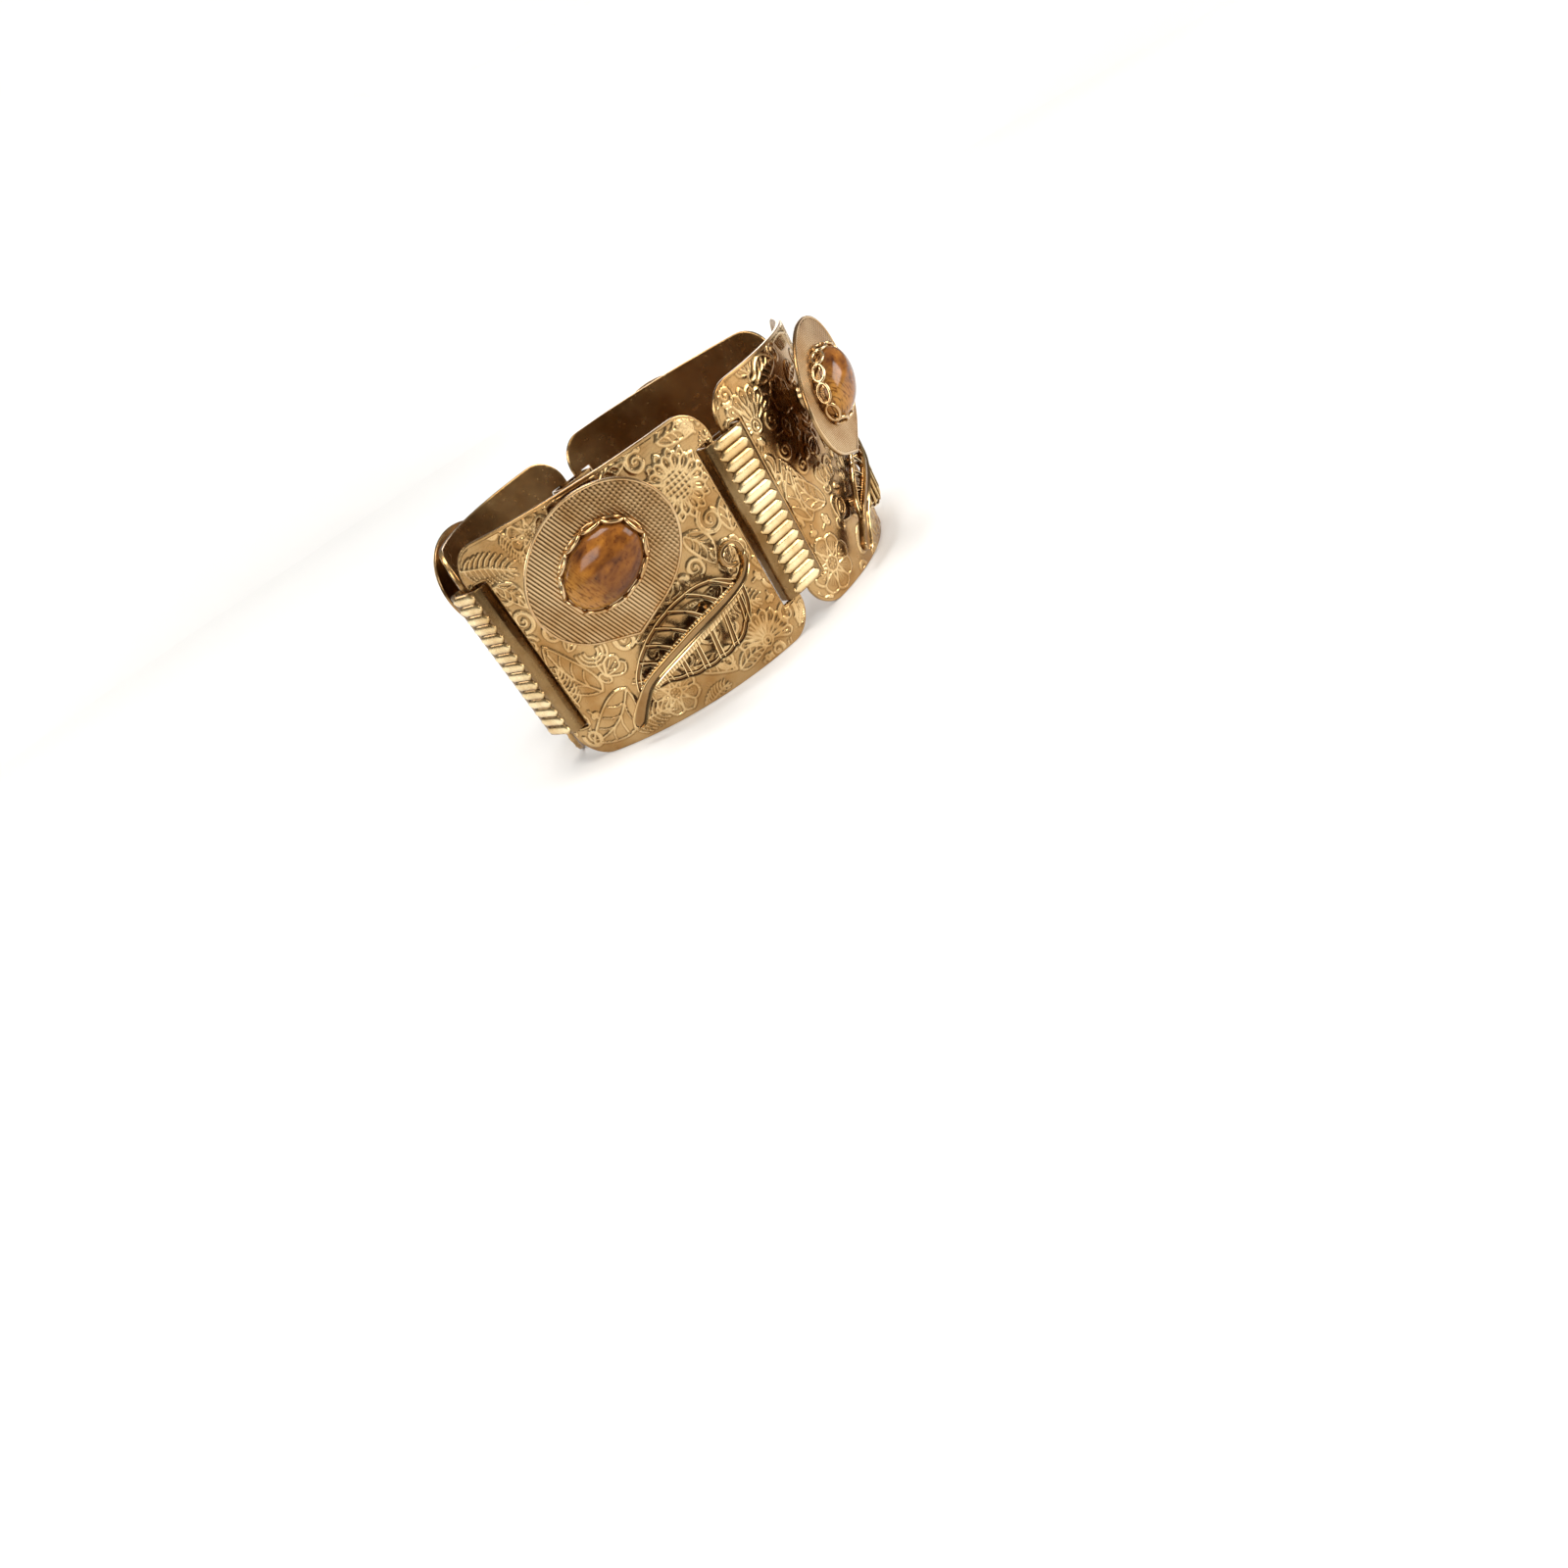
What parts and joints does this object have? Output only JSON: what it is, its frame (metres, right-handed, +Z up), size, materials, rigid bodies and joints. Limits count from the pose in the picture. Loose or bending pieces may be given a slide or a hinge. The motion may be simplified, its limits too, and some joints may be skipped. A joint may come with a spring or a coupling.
{
  "type": "link bracelet",
  "caption": "Wide link bracelet of curved engraved panels with discs, cabochons and openwork leaves, joined by ribbed loop links into a closed oval.",
  "frame": {"origin": "middle of the closed oval, at the level that the bracelet stands on", "axes": "+Z up along the wrist's axis, X along the oval's long axis, -Y out through the front link and +Y out through the clasp"},
  "size_m": [0.0752, 0.0552, 0.037],
  "materials": {
    "engraved_gold": "antique gold plate with fine engraving",
    "lined_gold": "gold plate with fine engine-turned lines",
    "leaf_gold": "polished cast gold plate",
    "pale_gold": "bright polished gold plate",
    "agate": "polished banded brown agate"
  },
  "bodies": {
    "root": {"panel_front_left": "engraved_gold", "panel_front_right": "engraved_gold", "panel_back_right": "engraved_gold", "panel_back_left": "engraved_gold", "disc_front_left": "lined_gold", "disc_front_right": "lined_gold", "disc_back_right": "lined_gold", "disc_back_left": "lined_gold", "stone_front_left": "agate", "stone_front_right": "agate", "stone_back_right": "agate", "stone_back_left": "agate", "leaf_front_left": "leaf_gold", "leaf_front_right": "leaf_gold", "leaf_back_right": "leaf_gold", "leaf_back_left": "leaf_gold", "link_front": "pale_gold", "link_right": "pale_gold", "link_left": "pale_gold", "clasp_back": "pale_gold"}
  },
  "joints": []
}
